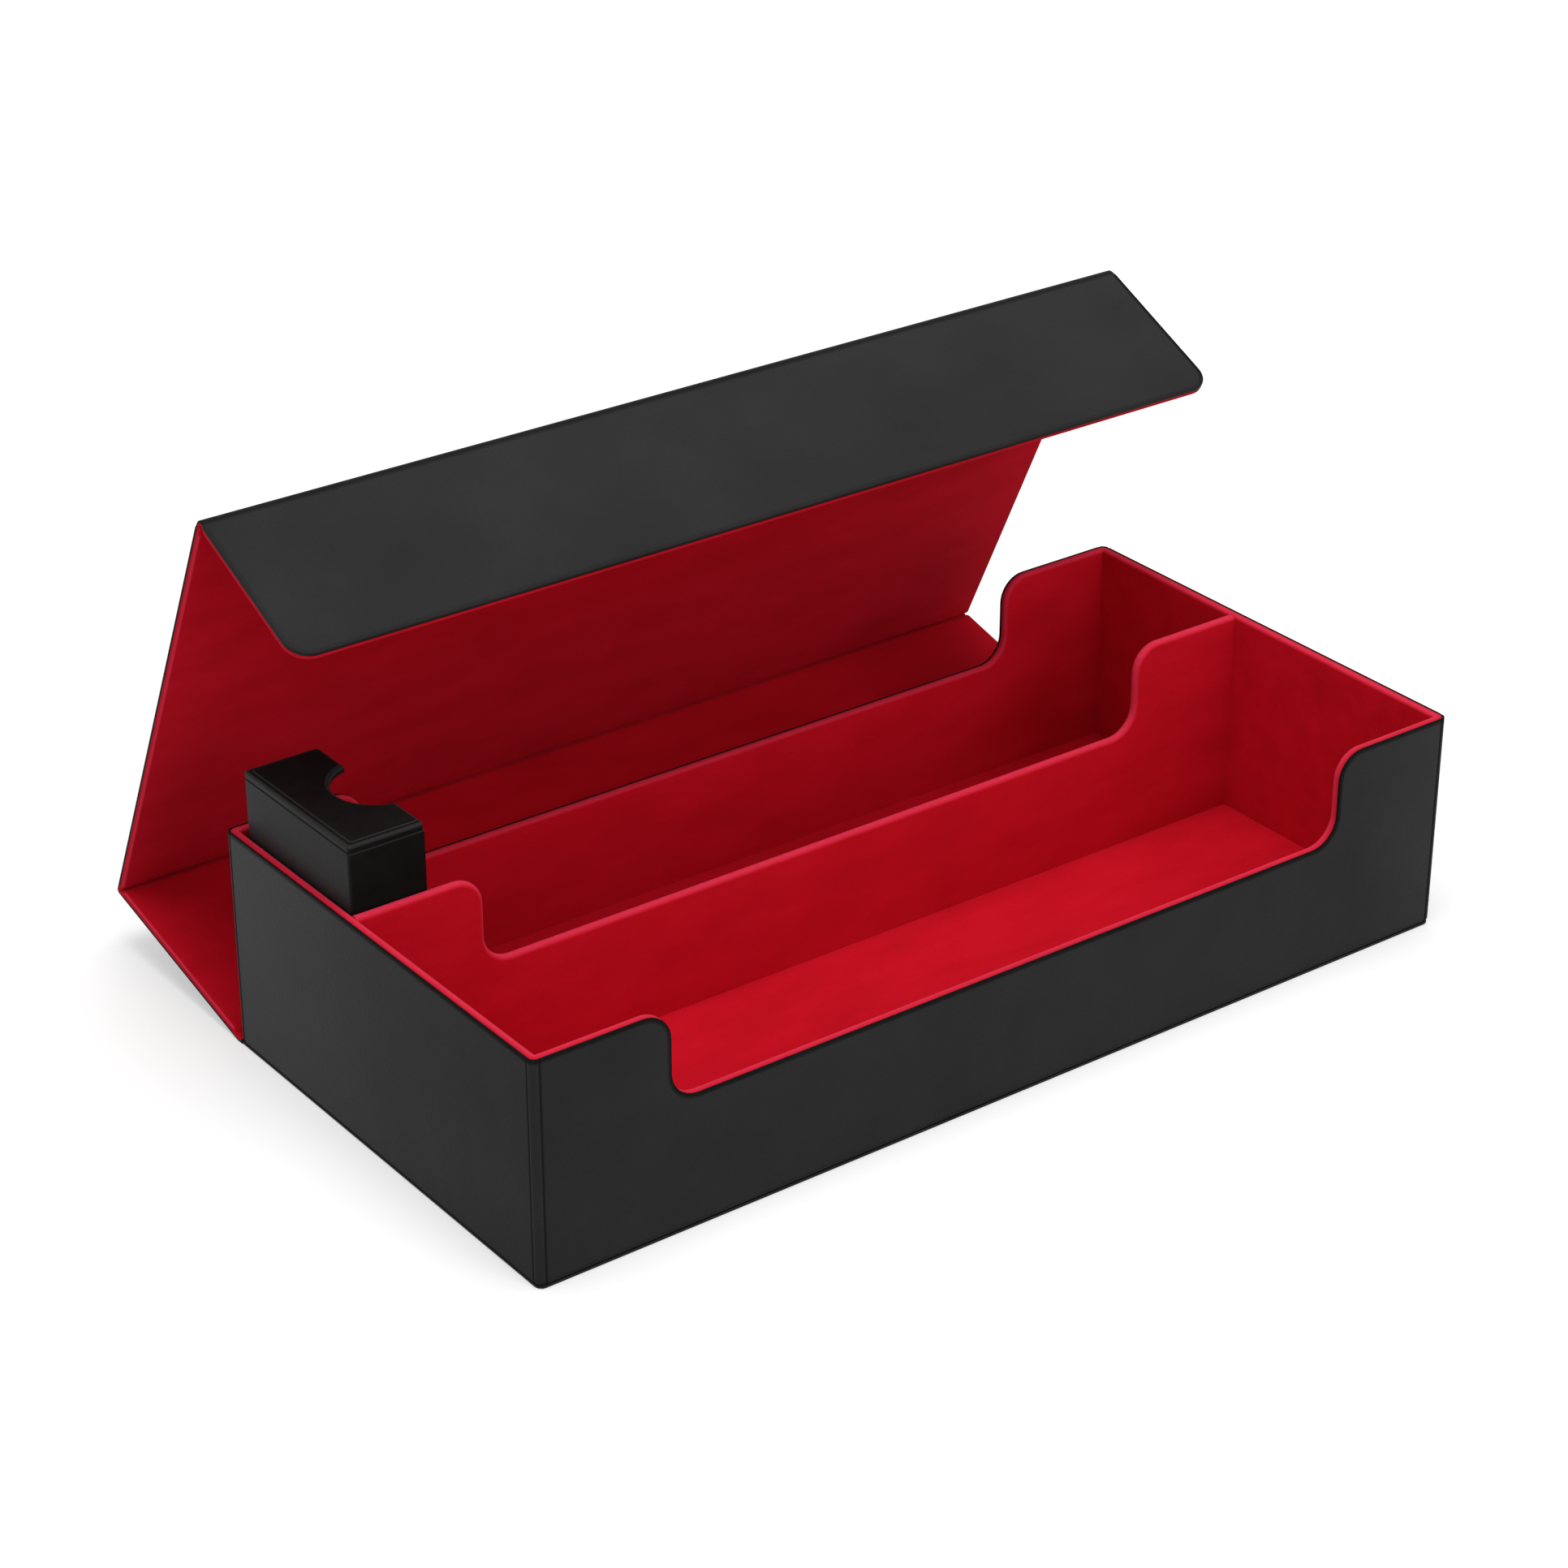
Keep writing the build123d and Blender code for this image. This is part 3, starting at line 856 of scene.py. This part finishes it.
def suede_strips(fold, bend, neck, slope, split):
    """Sections of the suede before and after a fold's gutter; slope is (along, height) from a panel in."""
    reach = slope[0][0]
    first, second = [], []
    for x, drop in stations(lining_edge):
        under = inner_way(fold, x, bend, reach, reach)
        under = drawn_in(under, bend_shares(len(under)), neck)
        gutter = drawn_in([fold.gutter(x, drop)], [1.0], neck)[0]
        shares = [1 - s / reach for s, w in slope]
        down = drawn_in([fold.before(x, -s, w - drop) for s, w in slope], shares, neck)
        rise = drawn_in([fold.after(x, u, w - drop) for u, w in slope], shares, neck)[::-1]
        first.append(unmarked(down + [gutter] + under[:split + 1][::-1]))
        second.append(unmarked([gutter] + rise + under[split:][::-1]))
    return first, second


def slope_to(reach, half_angle):
    """Suede's way down from a panel's face into the fold, below the half angle of the tightest fold."""
    lowest = slope_fill * math.tan(half_angle) * reach * slope_places[-1]
    rows = []
    for place, drop in zip(slope_places, slope_drops):
        rows.append((reach * place, half_panel - (half_panel - lowest) * drop))
    return rows


def dress_double_fold(name, fold, bend, split, reach, half_angle, spread, neck=0.0):
    """Soft fold on a roll between two panels: a strip each side of the roll, in leather and in suede."""
    line = fold.line
    outer = fold.way(0, half_panel, bend, skin_fold_reach, skin_fold_reach)
    gutter = fold.gutter(0, 0)
    back = fold.before(0, -spread, 0) - fold.before(0, 0, 0)

    sections = leather_strip(fold, bend, neck, stop=split + 1)
    strip = fold_piece(name + "_leather_near", sections, "black_leatherette")
    fold.before(0, -skin_fold_reach / 2, -half_panel)
    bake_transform(strip)
    sections = leather_strip(fold, bend, neck, start=split)
    strip = fold_piece(name + "_leather", sections, "black_leatherette")
    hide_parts(name + "_roll")
    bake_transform(strip)
    first, second = suede_strips(fold, bend, neck, slope_to(reach, half_angle), split)
    strip = fold_piece(name + "_suede_near", first, "red_suede")
    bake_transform(strip)
    strip = fold_piece(name + "_suede", second, "red_suede")
    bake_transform(strip)
    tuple(line)


def dress_base_fold():
    """Soft fold on which the lid swings, from the sheet under the tray to the spine."""
    fold = Fold(base_fold, 0.0, spine_angle)
    outer = fold.way(0, half_panel, half_panel, skin_fold_reach, skin_fold_reach)
    strip = fold_piece("base_fold_leather", leather_strip(fold, half_panel), "black_leatherette")
    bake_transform(strip)

    slope = slope_to(base_fold_reach, base_half_angle)
    lowest = -edge_back + tuck_clearance
    sections = []
    for x, drop in stations(lining_edge):
        tucked = [fold.before(x, -s, max(w - drop, lowest)) for s, w in base_tuck]
        rise = [fold.after(x, u, w - drop) for u, w in reversed(slope)]
        under = inner_way(fold, x, half_panel, base_tuck[0][0], base_fold_reach)
        sections.append(unmarked(tucked + [fold.gutter(x, drop)] + rise + under[::-1]))
    strip = fold_piece("base_fold_suede", sections, "red_suede")
    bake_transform(strip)


def dress_base_sheet():
    """Leather sheet under the tray, as far as the fold."""
    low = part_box("cover_base")[0]
    wrap_low, wrap_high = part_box("outer_wrap")
    inset = low.y - wrap_low.y
    half = wrap_high.x - inset
    back = base_fold.y - skin_fold_reach
    outline = corner_points(-half, low.y, -1, -1, corner_radius - inset)
    outline += corner_points(half, low.y, 1, -1, corner_radius - inset)[::-1]
    outline += [((half, back), (-1, 0), (0, 0)), ((-half, back), (1, 0), (0, 0))]
    # Painted shade darkens the sheet's rounded edge
    layers = [(0, 0, wrap_low.z, 0)] + soft_edge(skin_edge, low.z, -1)
    piece = make_piece("base_leather", [layered(outline, layers, upright)], "black_leatherette")
    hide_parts("cover_base")
    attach(piece, "tray")


def flap_length():
    """Reach of the flap from its fold, measured on its solid."""
    along = Vector((0, math.cos(flap_angle), math.sin(flap_angle)))
    return max((v.co - flap_fold).dot(along) for v in frame["nodes"]["flap_skin"].data.vertices)


def dress_lid():
    """Three panels and the three soft folds."""
    near = skin_fold_reach
    dress_panel("spine", base_fold, spine_angle, (near, spine_reach - near),
                (base_fold_reach, spine_reach - top_fold_reach))
    dress_panel("top", top_fold, top_angle, (near, top_reach - near),
                (top_fold_reach, top_reach - flap_fold_reach))
    flap_reach = flap_length()
    dress_panel("flap", flap_fold, flap_angle, (near, flap_reach), (flap_fold_reach, flap_reach),
                flap_corner_radius, flap_painted_shade)
    dress_base_sheet()
    dress_base_fold()
    fold = Fold(top_fold, spine_angle, top_angle)
    dress_double_fold("top_crease", fold, half_panel, way_steps,
                      top_fold_reach, top_half_angle, top_spread)
    fold = Fold(flap_fold, top_angle, flap_angle)
    dress_double_fold("flap_crease", fold, flap_bend,
                      way_steps + arc_steps, flap_fold_reach, flap_half_angle, flap_spread, flap_neck)


# Insert box


def notched_outline(low, high, radius, centre, notch):
    """Outline of the box seen from above, with round corners and a thumb notch in its +X side."""
    turn = math.acos((centre[0] - high.x) / notch)
    mitre_up = math.tan(turn / 2)
    bite = []
    for k in range(2 * arc_steps + 1):
        a = turn * (k / arc_steps - 1)
        away = (-math.cos(a), math.sin(a))
        inward = (-1, math.copysign(mitre_up, a)) if abs(a) == turn else away
        bite.append(((centre[0] + notch * away[0], centre[1] + notch * away[1]), inward, (0, 0)))
    outline = corner_points(low.x, low.y, -1, -1, radius)
    outline += corner_points(high.x, low.y, 1, -1, radius)[::-1]
    outline += bite
    outline += corner_points(high.x, high.y, 1, 1, radius)
    return outline + corner_points(low.x, high.y, -1, 1, radius)[::-1]


def shaded_side(inward):
    """Painted shade on the sides of the insert box: its two long sides are darker than its end."""
    return abs(inward[1])


def insert_sleeve(low, high):
    """Leather of the three closed sides, with a lip over the walls at the open side."""
    z0 = low.z + insert_wall
    z1 = high.z - insert_wall
    lip = high.x - insert_skin
    sides = []
    for y, turn in ((low.y, 1), (high.y, -1)):
        side = [((high.x, y), (0, turn), insert_wall), ((lip, y), (0, turn), insert_wall)]
        side.append(((lip, y), (0, turn), insert_skin))
        corner = corner_points(low.x, y, -1, -turn, insert_corner)[::-1]
        side += [(place, inward, insert_skin) for place, inward, fold in corner]
        sides.append(side)
    loops = []
    for (x, y), inward, depth in sides[0] + sides[1][::-1]:
        dx, dy = inward
        shade = shaded_side(inward)
        inner = (x + dx * depth, y + dy * depth)
        # Painted shade darkens the seams at the top and bottom, and the two long sides between them
        rows = [(seam, z0, 1.0), (0, z0 + seam, 0.0), (0, z0 + 2 * seam, shade)]
        rows += [(0, z1 - 2 * seam, shade), (0, z1 - seam, 0.0), (seam, z1, 1.0)]
        loop = [(Vector((x + dx * inset, y + dy * inset, z)), wear) for inset, z, wear in rows]
        loops.append(loop + [(Vector((*inner, z1)), 0.0), (Vector((*inner, z0)), 0.0)])
    return tube(loops)


def slab_layers(back, face, radius, sign, rest, inside_painted_shade=0.0):
    """Layers of a slab from its back to a soft face; sign says which way its face looks."""
    edge = [(free, fold, z, 0) for free, fold, z, wear in soft_edge(radius, face, sign)[:-1]]
    # The face inside its soft edge can carry painted shade
    return [(0, 0, back, 0)] + edge + [(radius + rest, 0, face, inside_painted_shade)]


def seamed_layers(back, face, radius, sign, rest):
    """Layers of a slab of the box, cut in where it meets the walls below it."""
    # Painted shade darkens the seam, the long sides and the face inside the soft edge
    sides = [(seam, 0, back, 1.0), (0, 0, back + sign * seam, shaded_side)]
    sides.append((0, 0, face - sign * (radius + seam), shaded_side))
    return sides + slab_layers(back, face, radius, sign, rest, 1.0)[1:]


def dress_insert():
    """Leather, inset panels and suede of the insert box."""
    low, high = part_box("insert_wrap")
    centre = (high.x + notch_radius - notch_depth, (low.y + high.y) / 2)
    outline = notched_outline(low, high, insert_corner, centre, notch_radius)
    faces = ((high.z - insert_wall, high.z, 1), (low.z + insert_wall, low.z, -1))
    shells = []
    for back, face, sign in faces:
        layers = seamed_layers(back, face, insert_edge, sign, insert_support)
        shells.append(layered(outline, layers, upright))
    shells.append(insert_sleeve(low, high))
    box = make_piece("insert_leather", shells, "black_leatherette")
    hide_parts("insert_wrap")
    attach(box, "insert")
    for node, sign in (("insert_top_patch", 1), ("insert_bottom_patch", -1)):
        patch_low, patch_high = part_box(node)
        back, face = (patch_low.z, patch_high.z)[::sign]
        notch = notch_radius + high.x - patch_high.x
        outline = notched_outline(patch_low, patch_high, insert_corner, centre, notch)
        # The patch's face carries painted shade inside its soft edge
        layers = slab_layers(back, face, patch_edge, sign, insert_support, 1.0)
        patch = make_piece(node + "_leather", [layered(outline, layers, upright)], "black_leatherette")
        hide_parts(node)
        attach(patch, "insert")
    dress_insert_suede(low, high, centre)


def dress_insert_suede(low, high, centre):
    """Suede pads on the five inner faces of the insert box."""
    first = Vector((low.x + insert_shell, low.y + insert_shell, low.z + insert_shell))
    last = Vector((high.x - insert_skin, high.y - insert_shell, high.z - insert_shell))
    thick = insert_wall - insert_shell
    cut = notch_radius + insert_skin
    pads = []
    outline = notched_outline(first, last, insert_edge, centre, cut)
    for back, face, sign in ((first.z, first.z + thick, 1), (last.z, last.z - thick, -1)):
        pads.append(layered(outline, slab_layers(back, face, patch_edge, sign, 0.0), upright))
    z0 = first.z + thick
    z1 = last.z - thick
    outline = rectangle(first.x, last.x, z0, z1)
    for back, face, sign in ((first.y, first.y + thick, 1), (last.y, last.y - thick, -1)):
        layers = slab_layers(back, face, patch_edge, sign, insert_support)
        pads.append(layered(outline, layers, lambda x, z, y: Vector((x, y, z))))
    outline = rectangle(first.y + thick, last.y - thick, z0, z1)
    layers = slab_layers(first.x, first.x + thick, patch_edge, 1, insert_support)
    pads.append(layered(outline, layers, lambda y, z, x: Vector((x, y, z))))
    lining = make_piece("insert_suede", pads, "red_suede")
    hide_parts("insert_lining")
    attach(lining, "insert")


# Stage


def seen_directly(tree):
    """One for rays from the camera, a gloss or a clear body, and zero for the rest."""
    path = tree.nodes.new("ShaderNodeLightPath")
    value = path.outputs["Is Camera Ray"]
    for kind in ("Is Glossy Ray", "Is Transmission Ray"):
        either = tree.nodes.new("ShaderNodeMath")
        either.operation = "MAXIMUM"
        tree.links.new(value, either.inputs[0])
        tree.links.new(path.outputs[kind], either.inputs[1])
        value = either.outputs["Value"]
    return value


def make_floor():
    """Pale floor that shows white to the camera and still takes the object's shadow."""
    bpy.ops.mesh.primitive_circle_add(vertices=floor_sides, radius=floor_radius, fill_type="NGON",
                                      location=(0, 0, 0))
    floor = bpy.context.object
    floor.name = "floor"
    material = bpy.data.materials.new("floor_white")
    material.use_nodes = True
    tree = material.node_tree
    surface = tree.nodes["Principled BSDF"]
    surface.inputs["Base Color"].default_value = floor_grey
    surface.inputs["Roughness"].default_value = 0.9
    surface.inputs["Specular IOR Level"].default_value = 0.1
    surface.inputs["Emission Color"].default_value = white
    place = tree.nodes.new("ShaderNodeTexCoord")
    distance = tree.nodes.new("ShaderNodeVectorMath")
    distance.operation = "LENGTH"
    tree.links.new(place.outputs["Object"], distance.inputs[0])
    level = tree.nodes.new("ShaderNodeMapRange")
    level.inputs["From Min"].default_value = glow_near
    level.inputs["From Max"].default_value = glow_far
    level.inputs["To Min"].default_value = near_glow
    level.inputs["To Max"].default_value = far_glow
    tree.links.new(distance.outputs["Value"], level.inputs["Value"])
    glow = tree.nodes.new("ShaderNodeMath")
    glow.operation = "MULTIPLY"
    tree.links.new(seen_directly(tree), glow.inputs[0])
    tree.links.new(level.outputs["Result"], glow.inputs[1])
    tree.links.new(glow.outputs["Value"], surface.inputs["Emission Strength"])
    floor.data.materials.append(material)


def make_world():
    """Even white surroundings, seen as plain white."""
    world = bpy.data.worlds.new("studio")
    world.use_nodes = True
    tree = world.node_tree
    background = tree.nodes["Background"]
    background.inputs["Color"].default_value = white
    level = tree.nodes.new("ShaderNodeMapRange")
    level.inputs["To Min"].default_value = surround_level
    level.inputs["To Max"].default_value = 1.0
    tree.links.new(seen_directly(tree), level.inputs["Value"])
    tree.links.new(level.outputs["Result"], background.inputs["Strength"])
    bpy.context.scene.world = world


def make_lamp(name, place, aim, size, power):
    """Soft square lamp turned to a point."""
    light = bpy.data.lights.new(name, "AREA")
    light.shape = "SQUARE"
    light.size = size
    light.energy = power
    lamp = bpy.data.objects.new(name, light)
    lamp.location = place
    lamp.rotation_euler = (Vector(aim) - Vector(place)).to_track_quat("-Z", "Y").to_euler()
    bpy.context.scene.collection.objects.link(lamp)


def make_camera():
    """Camera of the photograph."""
    data = bpy.data.cameras.new("camera")
    data.sensor_width = sensor_width
    data.lens = camera_lens
    data.clip_start = clip_start
    camera = bpy.data.objects.new("camera", data)
    camera.location = camera_place
    camera.rotation_euler = camera_forward.to_track_quat("-Z", "Y").to_euler()
    bpy.context.scene.collection.objects.link(camera)
    bpy.context.scene.camera = camera


def dress_solids():
    """Finish of the solids that keep their own shape."""
    for part in frame["record"]["subparts"]:
        mesh = frame["nodes"][part["node"]].data
        mesh.materials.clear()
        mesh.materials.append(finishes[part["material_slot"]])


dress_solids()
dress_wrap()
dress_walls()
dress_floors()
dress_lid()
dress_insert()
make_floor()
make_world()
for lamp in lamps:
    make_lamp(*lamp)
make_camera()
bpy.context.scene.view_settings.view_transform = "Standard"
